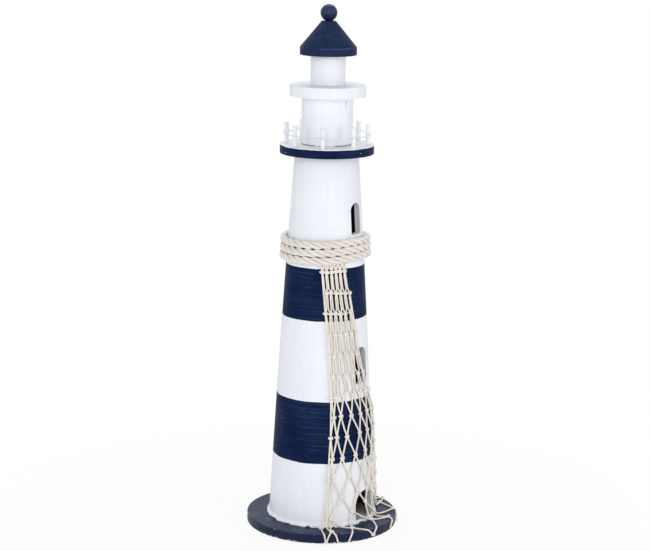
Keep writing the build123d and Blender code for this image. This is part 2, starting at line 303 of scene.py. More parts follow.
# How much painted shade the reveals get in the top ring and below it
top_reveal_shade = 0.3
low_reveal_shade = 0.12
# Painted shade on the wall behind the rope, seen in the gaps between its turns, in heights over the foot
# of the top ring
rope_gap_shade_start = (0.0095, 0.0110)
rope_gap_shade_end = (0.0270, 0.0255)
# Knocks in the gallery's rim: degrees round it and height over its foot
gallery_knocks = [(154.5, 0.0030), (-101.0, 0.0048), (-20.0, 0.0080), (70.0, 0.0018)]
# Degrees round the lantern room to the dark run of paint, and the drops of its blot and streak
lantern_run = -101
lantern_blot_drop = 0.0045
lantern_streak_drop = 0.0080


def navy_coat(finish, turned=True):
    """Colour, roughness and bump of navy paint: lathe or brush streaks, cloudy cover and dust specks."""
    streak = finish.streaks(lathe_streaks if turned else brush_streaks, detail=3, roughness=0.6)
    cloud = finish.noise(24, detail=4)
    cover = finish.times(finish.ramp(streak, 0.3, 0.75), finish.ramp(cloud, 0.25, 0.75))
    colour = finish.mix(cover, navy_deep, navy_worn)
    if turned:
        scratch = finish.ramp(finish.streaks(lathe_scratches, detail=1), 0.70, 0.76)
        colour = finish.mix(finish.times(scratch, 0.6), colour, navy_rubbed_and_sheen)
    speck = finish.spots(120, 0.05)
    colour = finish.mix(finish.times(speck, 0.6), colour, primer_chip)
    roughness = finish.span(streak, 0.36, 0.54)
    grain = finish.bump(streak, 0.0004, 0.5 if turned else 0.25)
    normal = finish.bump(finish.noise(320, detail=3), 0.0002, 0.3, grain)
    return colour, roughness, normal


def white_coat(finish):
    """Colour, roughness and bump of brushed white paint over turned wood."""
    stroke = finish.streaks(brush_strokes, detail=4, roughness=0.6)
    lathe = finish.streaks(lathe_rings)
    cloud = finish.noise(30, detail=4)
    cover = finish.maths("ADD", finish.times(stroke, 0.6), finish.times(cloud, 0.4))
    colour = finish.mix(finish.ramp(cover, 0.35, 0.65), white_body, white_brushed)
    speck = finish.spots(90, 0.08)
    colour = finish.mix(finish.times(speck, 0.35), colour, dust_grey)
    roughness = finish.span(stroke, 0.42, 0.62)
    grain = finish.bump(stroke, 0.0004, 0.4)
    grain = finish.bump(lathe, 0.0003, 0.35, grain)
    normal = finish.bump(cloud, 0.0012, 0.3, grain)
    return colour, roughness, normal


def ring_paint(name, navy, low, high):
    """Paint of a tower ring: white or navy outside and in its openings, with painted shade in the window
    reveals and on the bare wood of the bore.
    White shows past the uneven ends of a navy band, and painted shade lies behind the rope on the top
    ring."""
    finish = Finish(name)
    colour, roughness, normal = (navy_coat if navy else white_coat)(finish)
    if navy:
        waves = finish.streaks(band_edge_waves, detail=3)
        height = finish.maths("ADD", finish.z, finish.span(waves, -band_edge_wander, band_edge_wander))
        above = finish.ramp(height, high - band_edge_inset, high - band_edge_inset / 2)
        below = finish.ramp(height, low + band_edge_inset, low + band_edge_inset / 2)
        colour = finish.mix(finish.most(above, below), colour, white_body)
    middle = (low + high) / 2
    slope = (tower_radius(high) - tower_radius(low)) / (high - low)
    outline = finish.maths("MULTIPLY_ADD", finish.z, slope, tower_radius(middle) - slope * middle)
    depth = finish.maths("SUBTRACT", outline, finish.radius())
    # Painted shade in the window reveals
    reveal = finish.times(finish.ramp(depth, *reveal_start), finish.ramp(depth, *reveal_end))
    shaded = top_reveal_shade if low == top_section else low_reveal_shade
    colour = finish.mix(finish.times(reveal, shaded), colour, reveal_painted_shade)
    # Painted shade on the wall behind the rope, seen in the gaps between its turns
    if low == top_section:
        rise = finish.maths("SUBTRACT", finish.z, low)
        gap_shade = finish.times(finish.ramp(rise, *rope_gap_shade_start), finish.ramp(rise, *rope_gap_shade_end))
        colour = finish.mix(gap_shade, colour, rope_gap_shade)
    # Painted shade on the bare wood of the bore
    colour = finish.mix(finish.ramp(depth, *bore_shade_start), colour, bore_painted_shade)
    return finish.surface(colour, roughness, normal, band_gloss if navy else white_gloss)


def roof_paint():
    """Navy turned roof, brushed down its slope, with a broken painted highlight along its brim edge."""
    finish = Finish("roof_paint")
    colour, roughness, normal = navy_coat(finish, turned=False)
    # Painted highlight along the brim edge, broken by noise
    off_edge = finish.maths("ABSOLUTE", finish.maths("SUBTRACT", finish.z, brim_edge))
    chance = finish.noise(70, detail=3)
    brim_highlight = finish.times(finish.ramp(off_edge, 0.0009, 0.0002), finish.ramp(chance, 0.42, 0.58))
    colour = finish.mix(finish.span(brim_highlight, 0.17, 0.75), colour, navy_rubbed_and_sheen)
    return finish.surface(colour, roughness, normal, roof_gloss)


def ball_paint():
    """Navy ball, smooth, with painted sheen that makes its upper half lighter."""
    finish = Finish("ball_paint")
    colour, _, normal = navy_coat(finish, turned=False)
    # Painted sheen over the upper half
    upper = finish.ramp(finish.z, ball_middle - 0.003, ball_middle + 0.001)
    colour = finish.mix(finish.span(upper, 0.0, 0.45), colour, navy_rubbed_and_sheen)
    return finish.surface(colour, 0.3, normal, ball_gloss)


def white_paint():
    finish = Finish("white_paint")
    return finish.surface(*white_coat(finish), white_gloss)


def base_paint():
    """Navy base with chipped rim edges, scuffs and painted sheen and pale specks on its top, and white
    inside the tower.
    """
    finish = Finish("base_paint")
    colour, roughness, normal = navy_coat(finish)
    on_top = finish.ramp(finish.z, base_top - 0.0008, base_top - 0.0004)
    colour = finish.mix(finish.span(on_top, 0.95, 0.0), colour, navy_deep)
    at_rim = finish.ramp(finish.radius(), base_radius - 0.0016, base_radius - 0.0004)
    near_top = finish.ramp(finish.z, base_top - 0.0018, base_top - 0.0006)
    near_foot = finish.ramp(finish.z, 0.0022, 0.0008)
    chance = finish.noise(210, detail=3, roughness=0.7)
    top_chips = finish.times(near_top, finish.ramp(chance, 0.64, 0.68))
    foot_chips = finish.times(near_foot, finish.ramp(chance, 0.54, 0.58))
    chips = finish.times(at_rim, finish.most(top_chips, foot_chips))
    colour = finish.mix(finish.times(chips, 0.8), colour, primer_chip)
    # Scuffs on the top, partly wear and partly painted sheen
    scuff_and_sheen = finish.ramp(finish.noise(65, detail=5, roughness=0.7), 0.48, 0.70)
    scuff_and_sheen = finish.times(scuff_and_sheen, finish.span(on_top, 0.04, 0.70))
    colour = finish.mix(scuff_and_sheen, colour, navy_rubbed_and_sheen)
    speck = finish.spots(55, 0.08)
    colour = finish.mix(finish.times(speck, 0.4), colour, primer_chip)
    indoors = finish.ramp(finish.radius(), foot_radius + 0.0004, foot_radius)
    colour = finish.mix(finish.times(indoors, on_top), colour, white_body)
    return finish.surface(colour, roughness, normal, base_gloss)


def gallery_paint():
    """White deck with a navy rim, an uneven paint line just under the top edge and a few knocks."""
    finish = Finish("gallery_paint")
    navy, roughness, _ = navy_coat(finish)
    white, _, normal = white_coat(finish)
    wander = finish.span(finish.noise(60, detail=3), -deck_edge_wander, deck_edge_wander)
    height = finish.maths("ADD", finish.z, wander)
    on_deck = finish.ramp(height, *(deck - inset for inset in deck_edge_inset))
    colour = finish.mix(on_deck, navy, white)
    near_foot = finish.ramp(finish.z, tower_top + 0.0016, tower_top + 0.0005)
    chance = finish.noise(240, detail=3, roughness=0.7)
    chips = finish.times(near_foot, finish.ramp(chance, 0.66, 0.69))
    for degrees, rise in gallery_knocks:
        off = finish.distance(polar(gallery_radius, degrees, tower_top + rise))
        chips = finish.most(chips, finish.ramp(off, 0.0010, 0.0003))
    colour = finish.mix(finish.times(chips, 0.6), colour, primer_chip)
    return finish.surface(colour, roughness, normal, gallery_gloss)


def lantern_paint():
    """White lantern room, with the broken dark crack at its foot and a few short runs under its top."""
    finish = Finish("lantern_paint")
    colour, roughness, normal = white_coat(finish)
    broken = finish.streaks(crack_breaks, detail=3)
    low = finish.ramp(finish.z, deck + 0.0011, deck + 0.0006)
    crack = finish.times(low, finish.ramp(broken, 0.38, 0.46))
    colour = finish.mix(crack, colour, crack_dark)
    thin = finish.streaks(paint_runs)
    high = finish.ramp(finish.z, lantern_top - 0.014, lantern_top - 0.004)
    run = finish.times(high, finish.ramp(thin, 0.70, 0.76))
    colour = finish.mix(finish.times(run, 0.55), colour, run_grey)
    blot_place = polar(lantern_radius, lantern_run, lantern_top - lantern_blot_drop)
    blot = finish.ramp(finish.distance(blot_place, (0.6, 0.6, 1)), 0.0014, 0.0006)
    streak_place = polar(lantern_radius, lantern_run - 0.5, lantern_top - lantern_streak_drop)
    streak = finish.ramp(finish.distance(streak_place, (1, 1, 0.12)), 0.0009, 0.0004)
    marks = finish.most(blot, streak)
    colour = finish.mix(finish.times(marks, 0.5), colour, run_grey)
    return finish.surface(colour, roughness, normal, white_gloss)


def bead_paint():
    """White paint with navy brushed up on to its foot in uneven notches."""
    finish = Finish("bead_paint")
    colour, roughness, normal = white_coat(finish)
    notch = finish.span(finish.noise(130, detail=3, roughness=0.6), -0.0048, 0.0050)
    height = finish.maths("SUBTRACT", finish.z, finish.maths("ADD", notch, base_top))
    navy = finish.ramp(height, 0.0002, -0.0002)
    colour = finish.mix(navy, colour, navy_worn)
    return finish.surface(colour, roughness, normal, bead_gloss)


def bare_wood():
    """Unpainted wood of the plug and the dowels, with its grain along the height."""
    finish = Finish("bare_wood")
    fibre = finish.streaks(wood_fibres, detail=5, roughness=0.65)
    stripe = finish.streaks(wood_stripes, detail=5, roughness=0.65)
    colour = finish.mix(finish.ramp(stripe, 0.3, 0.7), wood_pale, wood_dark)
    return finish.surface(colour, 0.6, finish.bump(fibre, 0.0003, 0.5))


def zinc_steel():
    finish = Finish("zinc_steel")
    cloud = finish.noise(900, detail=3)
    colour = finish.mix(cloud, zinc_dark, zinc_bright)
    finish.shader.inputs["Metallic"].default_value = 1.0
    return finish.surface(colour, finish.span(cloud, 0.28, 0.45))


# Spun fibre of the rope, the net and the string
rope_pale = (0.90, 0.85, 0.78)
rope_dark = (0.78, 0.705, 0.615)
rope_painted_shade = (0.72, 0.64, 0.565)
twine_pale = (0.95, 0.885, 0.80)
twine_dark = (0.78, 0.69, 0.58)
string_pale = (0.88, 0.82, 0.74)
string_dark = (0.70, 0.62, 0.53)
fibre_roughness = 0.85
fibre_gloss = 0.15
fibre_sheen = 0.25
fibre_sheen_roughness = 0.5
# Painted shade between the rope's strands: all of it up to the first height over the rope's middle line,
# and none past the second
rope_groove_shade = (rope_painted_shade, 0.0023, 0.0034)


def twisted_fibre(name, pale, dark, yarns, turns, fuzz_scale, depth, groove_shade=None):
    """Spun fibre: yarn lines that wind round each strand, read from its own map, and loose fuzz.
    A laid rope also has painted shade in the grooves between its strands."""
    finish = Finish(name)
    split = finish.add("ShaderNodeSeparateXYZ", {0: finish.uv})
    across, along = split.outputs[0], split.outputs[1]
    phase = finish.maths("MULTIPLY_ADD", along, turns, across)
    wave = finish.maths("SINE", finish.times(phase, 2 * math.pi * yarns))
    fuzz = finish.noise(fuzz_scale, detail=3, roughness=0.65)
    ridge = finish.maths("MULTIPLY_ADD", wave, 0.35, fuzz)
    stain = finish.noise(45, detail=3)
    shade = finish.maths("MULTIPLY_ADD", stain, 0.5, finish.times(ridge, 0.5))
    colour = finish.mix(finish.ramp(shade, 0.2, 0.75), dark, pale)
    if groove_shade:
        # Painted shade between the strands, where a point lies near the rope's middle line
        groove_shade_colour, low, high = groove_shade
        stands = finish.add("ShaderNodeAttribute", {}, attribute_name="crown")
        deep_shade = finish.ramp(stands.outputs["Fac"], high, low)
        colour = finish.mix(deep_shade, colour, groove_shade_colour)
    finish.shader.inputs["Sheen Weight"].default_value = fibre_sheen
    finish.shader.inputs["Sheen Roughness"].default_value = fibre_sheen_roughness
    return finish.surface(colour, fibre_roughness, finish.bump(ridge, depth, 0.5), fibre_gloss)


# Cord lines and strands
spline_order = 3
strand_resolution = 3
weld_distance = 1e-7
# Lumps to the metre along a strand, and the step in the noise from strand to strand
strand_lumps = 90
strand_step = 7.3


def line_of(points, steps):
    """Points read along the smooth line that a cord's control points give."""
    route = bpy.data.curves.new("route", "CURVE")
    route.dimensions = "3D"
    add_strand(route, points, smooth=True, resolution=steps)
    holder = bpy.data.objects.new("route", route)
    mesh = bpy.data.meshes.new_from_object(holder)
    places = [vertex.co.copy() for vertex in mesh.vertices]
    bpy.data.objects.remove(holder)
    bpy.data.curves.remove(route)
    bpy.data.meshes.remove(mesh)
    return places


def add_strand(curve, points, thickness=None, smooth=False, closed=False, resolution=strand_resolution):
    """One strand of a cord, through its points or smoothly along them, with its thickness at each."""
    spline = curve.splines.new("NURBS" if smooth else "POLY")
    spline.points.add(len(points) - 1)
    for number, (control, point) in enumerate(zip(spline.points, points)):
        control.co = (*point, 1)
        control.radius = thickness[number] if thickness else 1
    if smooth:
        spline.order_u = spline_order
        spline.use_endpoint_u = not closed
        spline.resolution_u = resolution
    spline.use_cyclic_u = closed


def strand_curve(name, radius, sides):
    curve = bpy.data.curves.new(name, "CURVE")
    curve.dimensions = "3D"
    curve.bevel_depth = radius
    curve.bevel_resolution = (sides - 4) // 2
    curve.use_fill_caps = True
    return curve


def piece_from_curve(curve, material):
    """A mesh piece from a curve of strands, with its caps closed."""
    name = curve.name
    holder = bpy.data.objects.new(name, curve)
    mesh = bpy.data.meshes.new_from_object(holder)
    bpy.data.objects.remove(holder)
    bpy.data.curves.remove(curve)
    shape = bmesh.new()
    shape.from_mesh(mesh)
    bmesh.ops.remove_doubles(shape, verts=shape.verts, dist=weld_distance)
    write_mesh(shape, mesh, material)
    mesh.name = name
    return add_object(name, mesh)


def ends_of(line, number):
    return line[max(number - 1, 0)], line[min(number + 1, len(line) - 1)]


def laid_strands(curve, line, count, offsets, lay, unevenness):
    """Strands laid right-handed round a line, each a little uneven along its length.
    The offsets are how far they stand from the line, away from the tower's axis and across that."""
    for strand in range(count):
        travelled = 0.0
        points = []
        thickness = []
        for number, point in enumerate(line):
            before, after = ends_of(line, number)
            ahead = (after - before).normalized()
            out = from_axis(point)
            out = (out - ahead * out.dot(ahead)).normalized()
            down = ahead.cross(out)
            if number:
                travelled += (point - line[number - 1]).length
            turn = 2 * math.pi * (travelled / lay + strand / count)
            offset = out * (offsets[0] * math.cos(turn)) + down * (offsets[1] * math.sin(turn))
            points.append(point + offset)
            lump = noise.noise(Vector((travelled * strand_lumps, strand * strand_step, 0)))
            thickness.append(1 + unevenness * lump)
        add_strand(curve, points, thickness)


def mark_crowns(piece, line):
    """Stores how far each point of a laid cord stands from its middle line."""
    tree = kdtree.KDTree(len(line))
    for number, point in enumerate(line):
        tree.insert(point, number)
    tree.balance()
    crown = piece.data.attributes.new("crown", "FLOAT", "POINT")
    for vertex, stored in zip(piece.data.vertices, crown.data):
        stored.value = tree.find(vertex.co)[2]


# Rope winding, three turns of laid rope above the upper navy band
rope_diameter = 0.0088
rope_pitch = 0.0091
rope_turns = 3
rope_start_angle = 33.5
rope_start_height = 0.0047
rope_clearance = 0.0002
# Degrees past the back, lift of every turn there, and how much closer the turns lie
rope_lifts = [
    (0, 0.0, 0.0),
    (60, 0.0035, 0.0),
    (90, 0.0018, 0.0),
    (135, 0.0004, 0.0),
    (180, 0.0, 0.0),
    (217, 0.0014, 0.0005),
    (240, 0.0008, 0.0008),
    (270, -0.0005, 0.0010),
    (300, -0.0020, 0.0005),
    (360, 0.0, 0.0),
]
rope_points_per_turn = 24
rope_steps = 14
rope_lay = 0.034
rope_strands = 3
rope_strand_radius = 0.0022
rope_strand_offsets = (0.0020, 0.0025)
rope_strand_sides = 12
rope_unevenness = 0.06
rope_half_depth = rope_strand_radius + rope_strand_offsets[0]


def rope_rise(degrees):
    """Height of the rope's middle: it lies nearly level in front and climbs most at the back."""
    gone = degrees - rope_start_angle
    turn, from_back = divmod(gone, 360)
    for first, second in zip(rope_lifts, rope_lifts[1:]):
        if from_back <= second[0]:
            break
    share = (from_back - first[0]) / (second[0] - first[0])
    lift = first[1] + (second[1] - first[1]) * share
    closer = first[2] + (second[2] - first[2]) * share
    return top_section + rope_start_height + rope_pitch * gone / 360 + lift + closer * (1 - turn)


def rope_control(degrees):
    """Control point of the winding, set out so that the smooth line has the rope's own radius."""
    z = rope_rise(degrees)
    half_step = math.pi / rope_points_per_turn
    radius = tower_radius(z) + rope_clearance + rope_half_depth
    return polar(radius / math.cos(half_step), degrees, z)


def rope_route():
    """Control points of the turns, with a rope's thickness more at each end."""
    step = 360 / rope_points_per_turn
    count = rope_turns * rope_points_per_turn
    turns = [rope_control(rope_start_angle + step * number) for number in range(count + 1)]
    head = turns[0] - (turns[1] - turns[0]).normalized() * rope_diameter
    tail = turns[-1] + (turns[-1] - turns[-2]).normalized() * rope_diameter
    return [head, *turns, tail]


def make_rope(material):
    line = line_of(rope_route(), rope_steps)
    curve = strand_curve("rope_winding", rope_strand_radius, rope_strand_sides)
    laid_strands(curve, line, rope_strands, rope_strand_offsets, rope_lay, rope_unevenness)
    rope = piece_from_curve(curve, material)
    mark_crowns(rope, line)
    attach(rope, "root")
    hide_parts("rope_wrap")


# Railing string, round the outside of the posts from its knot at the back
post_circle_radius = 0.04625
post_first_angle = -152.0
post_step = 45.0
post_radius = 0.0025
string_diameter = 0.0012
string_height = 0.012
string_z = deck + string_height
string_clearance = 0.00035
string_bend = post_radius + string_clearance + string_diameter / 2
string_flat = post_circle_radius * math.cos(math.radians(post_step / 2)) + string_bend
string_corner = string_flat / math.cos(math.radians(post_step / 2))
string_corner_run = 0.0045
# How far the middle of each run from post to post hangs, from the back round by the front
string_sags = [0.0012, 0.0010, 0.0014, 0.0050, 0.0018, 0.0022, 0.0012]
string_steps = 10
string_strands = 2
string_strand_radius = string_diameter * 0.29
string_strand_offsets = (string_diameter * 0.25, string_diameter * 0.25)
string_strand_sides = 6
string_unevenness = 0.15
string_lay = 0.0042
string_knot_angle = post_first_angle + post_step * 4.5
string_knot_length = 0.004
string_knot_radius = string_diameter * 0.45
string_knot_sides = 8
string_knot_points = 24
# Half sizes of the knot's loops, along the string, outwards and up
string_knot_loops = (0.0011, 0.0010, 0.0010)
# A tail of the knot: places along the string, outwards and up from the knot, and its thickness there
string_knot_tail = [
    (0.0, 0.0, 0.0, 1),
    (0.0016, 0.0010, 0.0, 0.9),
    (0.0034, 0.0016, -0.0022, 0.8),
    (0.0042, 0.0017, -0.0060, 0.5),
]


def string_route():
    """Corners outside the posts, with a point each side of them and a slack middle to each run."""
    knot = polar(string_flat, string_knot_angle, string_z)
    along = polar(1, string_knot_angle + 90, 0)
    corners = [
        polar(string_corner, string_knot_angle + post_step * (number + 0.5), string_z)
        for number in range(len(railing_posts))
    ]
    start = knot + along * (string_knot_length / 2)
    end = knot - along * (string_knot_length / 2)
    stops = [start, *corners, end]
    route = [start]
    for number, (before, after) in enumerate(zip(stops, stops[1:])):
        ahead = (after - before).normalized()
        if number:
            route.append(before + ahead * string_corner_run)
        if 0 < number < len(stops) - 2:
            sag = Vector((0, 0, string_sags[number - 1]))
            route.append((before + after) / 2 - sag)
        if number < len(stops) - 2:
            route.append(after - ahead * string_corner_run)
            route.append(after)
    route.append(end)
    return route


def make_string(material):
    line = line_of(string_route(), string_steps)
    curve = strand_curve("rail_string", string_strand_radius, string_strand_sides)
    laid_strands(curve, line, string_strands, string_strand_offsets, string_lay, string_unevenness)
    string = piece_from_curve(curve, material)
    knot = make_string_knot(material)
    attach(string, "root")
    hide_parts("rail_cord")


def make_string_knot(material):
    """Overhand lump where the two ends of the string are tied, with short tails."""
    centre = polar(string_flat, string_knot_angle, string_z)
    along = polar(1, string_knot_angle + 90, 0)
    out = polar(1, string_knot_angle, 0)
    up = Vector((0, 0, 1))
    half_length, half_depth, half_height = string_knot_loops
    curve = strand_curve("rail_string_knot", string_knot_radius, string_knot_sides)
    points = []
    for number in range(string_knot_points):
        turn = 4 * math.pi * number / string_knot_points
        points.append(
            centre
            + along * (half_length * math.cos(turn / 2))
            + out * (half_depth * math.cos(turn))
            + up * (half_height * math.sin(turn))
        )
    add_strand(curve, points, smooth=True, closed=True)
    for side in (-1, 1):
        tail = []
        thickness = []
        for run, off, rise, thick in string_knot_tail:
            tail.append(centre + along * (side * run) + out * off + up * rise)
            thickness.append(thick)
        add_strand(curve, tail, thickness, smooth=True)
    knot = piece_from_curve(curve, material)
    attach(knot, "root")
    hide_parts("rail_cord_knot")
    return knot


# Fishing net: rows of knots down the tower, out over the base and over its rim
net_rows = 12
net_meshes = 6
net_row_run = 0.02375
net_twine_radius = 0.00102
net_twine_sides = 6
net_stand_off = 0.0020
net_first_z = 0.305
net_tuck_z = 0.316
net_foot_rise = 0.02
net_line_steps = 8
net_bar_steps = 10
net_seed = 7
# Bars of the upper rows run in pairs: degrees out from the pair's middle, and more for each row down,
# the rows where pairs come apart, the shares of a bar at which it has joined its pair and leaves it,
# and how much thinner it is drawn
net_pair_turn = 1.05
net_pair_widening = 0.1
net_pair_rows = (5, 6.5)
net_pair_joining = 0.2
net_pair_parting = 0.78
net_drawn_thin = 0.12
# Rows from this one on have one more knot
net_gather_row = 6
# The lowest rows rise towards the right, as far as the given place, and fall at the left
net_lift = 0.0068
net_lift_place = 4
net_lift_power = 6
net_fall = 0.0065
# Random wander of each knot, down the net and in degrees, and of a bar's bow and a knot's lean
net_wander = 0.0010
net_turn_wander = 0.5
net_bow = 0.5
net_knot_lean = 0.4
# How far the lower knots and the right edge hang off the tower, and the bars lie in to it
net_hang = 0.0008
net_edge_hang = 0.0006
net_bar_sink = 0.0004
# Slack of the lower bars, and the rows over which it grows
net_slack = 0.0016
net_slack_rows = (7, 10)
# Bars that go up under the rope: where they end on the net's line, and degrees to each side
net_tuck_end = 0.0005
net_tuck_turn = 2.6
# Row, and degrees round the tower of the seven columns there
net_columns = [
    (0, (-150, -144, -137.5, -131.5, -125.5, -118.5, -112.5)),
    (4.5, (-138, -132, -125, -117, -108.5, -99.5, -92)),
    (8, (-137, -130, -117.5, -99.5, -85, -69, -60)),
    (12, (-141, -137, -112, -93.5, -77.5, -63, -50)),
]
# Knots about the tower's foot, by place across the net: degrees, and run past the bend on to the base
net_foot = {
    -0.5: (-147, 0.0006),
    0.5: (-138, 0.0126),
    1.5: (-118, 0.0060),
    2.5: (-87, 0.0006),
    3.5: (-75, -0.0075),
    4.5: (-34, 0.0075),
    5.5: (-20, 0.0040),
}
# Knots about the base's rim, by place: degrees, and run past the rim
net_rim = {
    0: (-142.5, 0.0100),
    2: (-104.5, 0.0060),
    3: (-73, -0.0075),
    4: (-51.5, -0.0030),
    5: (-25, -0.0020),
}
# Loose ends, by the row and place of the knot that they leave: degrees, and run past the rim
net_tails = {
    (13, 0.5): (-133.5, 0.0108),
    (13, 1.5): (-125.5, 0.0108),
    (14, 3): (-82, 0.0080),
    (14, 4): (-62, 0.0095),
}
# Head line of the net, under the rope: run down the net's line and its wander, how far it stands off,
# and the degrees that it spans
net_head_drop = 0.0012
net_head_wander = 0.0006
net_head_off = 0.0004
net_head_span = (-151.5, -116.5)
net_head_steps = 14
net_knot_width = 0.0024
net_knot_depth = 0.0012
net_knot_height = 0.0010
net_knot_points = 12


def smooth_step(share):
    share = min(max(share, 0), 1)
    return share * share * (3 - 2 * share)


class NetLine:
    """The line that the net follows, seen from the side: down the tower, along the base, over the rim."""

    def __init__(self):
        lowest = base_top + net_foot_rise
        heights = [z for z, _ in reversed(tower_outline) if lowest < z < net_tuck_z]
        tower = [(tower_radius(z) + net_stand_off, 0, z) for z in [net_tuck_z, *heights]]
        foot = [
            (foot_radius + 0.0030, 0, base_top + 0.0100),
            (foot_radius + 0.0040, 0, base_top + 0.0025),
            (foot_radius + 0.0065, 0, base_top + 0.0014),
            (foot_radius + 0.0120, 0, base_top + 0.0014),
            (base_radius - 0.0030, 0, base_top + 0.0013),
            (base_radius + 0.0014, 0, base_top + 0.0012),
            (base_radius + 0.0016, 0, base_top - 0.0030),
            (base_radius + 0.0014, 0, 0.0012),
        ]
        self.points = line_of(tower + foot, net_line_steps)
        self.marks = [0.0]
        for before, after in zip(self.points, self.points[1:]):
            self.marks.append(self.marks[-1] + (after - before).length)
        self.corner = self.mark_near(foot[2])
        self.rim = self.mark_near(foot[5])

    def mark_near(self, place):
        nearest = min(range(len(self.points)), key=lambda i: (self.points[i] - Vector(place)).length)
        return self.marks[nearest]

    def at(self, distance):
        """Radius and height at a distance along the line, and the way on from there."""
        distance = min(max(distance, 0), self.marks[-1])
        number = 0
        while number < len(self.marks) - 2 and self.marks[number + 1] < distance:
            number += 1
        first, second = self.points[number], self.points[number + 1]
        share = (distance - self.marks[number]) / (self.marks[number + 1] - self.marks[number])
        point = first.lerp(second, share)
        return point, (second - first).normalized()


def net_places(row):
    """Places of a row's knots across the net. Rows step by half a mesh, and lower ones have one more."""
    if row > net_rows + 1:
        return list(net_rim)
    if row > net_rows:
        return list(net_foot)
    count = net_meshes + (row >= net_gather_row)
    return [number + 0.5 * (row % 2) for number in range(count)]


def net_angle(row, place):
    """Angle of a place in a row on the tower, straight between the columns and rows that are given."""
    for (above, upper), (below, lower) in zip(net_columns, net_columns[1:]):
        if row <= below:
            break
    share = (row - above) / (below - above)
    left = min(int(place), net_meshes - 1)
    across = place - left
    first = upper[left] + (lower[left] - upper[left]) * share
    second = upper[left + 1] + (lower[left + 1] - upper[left + 1]) * share
    return first + (second - first) * across


def net_knot(line, row, place):
    """Distance down the net's line and angle of a knot: on the tower, about its foot, then at the rim."""
    if row > net_rows + 1:
        degrees, run = net_rim[place]
        return line.rim + run, degrees
    if row > net_rows:
        degrees, run = net_foot[place]
        return line.corner + run, degrees
    lift = net_lift * min(place, net_lift_place) - net_fall
    lift *= (row / net_rows) ** net_lift_power
    return net_tuck_z - net_first_z + net_row_run * row - lift, net_angle(row, place)


def make_net(material):
    line = NetLine()
    draw = random.Random(net_seed)

    def place_at(distance, degrees, off=0.0):
        point, ahead = line.at(distance)
        out = Vector((-ahead.z, 0, ahead.x))
        spot = point + out * off
        return Matrix.Rotation(math.radians(degrees), 3, "Z") @ spot

    knots = {}
    for row in range(net_rows + 3):
        for place in net_places(row):
            distance, degrees = net_knot(line, row, place)
            distance += draw.uniform(-net_wander, net_wander)
            degrees += draw.uniform(-net_turn_wander, net_turn_wander)
            hang = net_hang * (row / net_rows) * place / net_meshes
            hang += net_edge_hang * (place > net_meshes - 0.5)
            hang *= row < net_rows
            knots[row, place] = (distance, degrees, hang)

    curve = strand_curve("knotted_net", net_twine_radius, net_twine_sides)

    def add_bar(first, second, slack=0.0, aside=0.0, column=0.0, paired=0.0):
        """Twine between two knots. Where the net is drawn tight it runs beside its pair,
        then parts from it."""
        bow = draw.uniform(-net_bow, net_bow)
        parting = net_pair_parting * paired
        points = []
        for step in range(net_bar_steps + 1):
            share = step / net_bar_steps
            distance, degrees, off = (a + (b - a) * share for a, b in zip(first, second))
            belly = math.sin(math.pi * share)
            degrees += bow * belly
            joined = smooth_step(share / net_pair_joining)
            beside = first[1] + (column - first[1]) * share + aside * joined
            beside += (second[1] - beside) * smooth_step((share - parting) / (1 - parting))
            degrees += (beside - degrees) * paired
            points.append(place_at(distance + slack * belly, degrees, off - net_bar_sink * belly))
        thickness = [1 - net_drawn_thin * paired] * len(points)
        add_strand(curve, points, thickness, smooth=True)

    first_pair, last_pair = net_pair_rows
    first_slack, full_slack = net_slack_rows
    for (row, place), knot in knots.items():
        slack = net_slack * smooth_step((row - first_slack) / (full_slack - first_slack))
        slack *= row < net_rows
        paired = 1 - smooth_step((row - first_pair) / (last_pair - first_pair))
        aside = net_pair_turn + net_pair_widening * row
        for side in (-1, 1):
            below = knots.get((row + 1, place + side * 0.5))
            if below and paired:
                add_bar(knot, below, slack, side * aside, net_angle(row + 1, place), paired)
            elif below:
                add_bar(knot, below, slack)
            if row == 0:
                add_bar((net_tuck_end, knot[1] + side * net_tuck_turn, 0), knot)
        edge = place == 0 or place == net_meshes - 0.5 and row < net_gather_row - 1
        if edge and row < net_rows:
            add_bar(knot, knots[row + 2, place])
    for start, (degrees, run) in net_tails.items():
        add_bar(knots[start], (line.rim + run, degrees, 0))
    head = []
    head_start, head_end = net_head_span
    for step in range(net_head_steps + 1):
        degrees = head_start + (head_end - head_start) * step / net_head_steps
        distance = net_head_drop + draw.uniform(-net_head_wander, net_head_wander)
        head.append(place_at(distance, degrees, net_head_off))
    add_strand(curve, head, smooth=True)

    def add_knot(distance, degrees, off):
        """Two small loops of twine round the place where bars meet."""
        centre = place_at(distance, degrees, off)
        ahead = (place_at(distance + 0.001, degrees, off) - centre).normalized()
        across = polar(1, degrees + 90, 0)
        out = across.cross(ahead).normalized()
        points = []
        lean = draw.uniform(-net_knot_lean, net_knot_lean)
        for number in range(net_knot_points):
            turn = 4 * math.pi * number / net_knot_points + lean
            points.append(
                centre
                + across * (net_knot_width * math.cos(turn))
                + out * (net_knot_depth * math.sin(turn))
                + ahead * (net_knot_height * math.cos(turn / 2 + lean))
            )
        add_strand(curve, points, smooth=True, closed=True)

    for knot in knots.values():
        add_knot(*knot)
    net = piece_from_curve(curve, material)
    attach(net, "root")
    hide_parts("fishing_net")


# Lumpy run of paint where the tower stands on the base, across the doorway too
bead_reach = 0.0027
bead_rise = 0.0040
bead_inset = 0.0010
bead_sink = 0.0004
bead_steps = 260
# Size of the lumps and of the finer grit, how many to the metre, and the share that also goes up
bead_lump = 0.0010
bead_grit = 0.0005
bead_lump_scale = 150
bead_grit_scale = 430
bead_lump_lift = 0.6


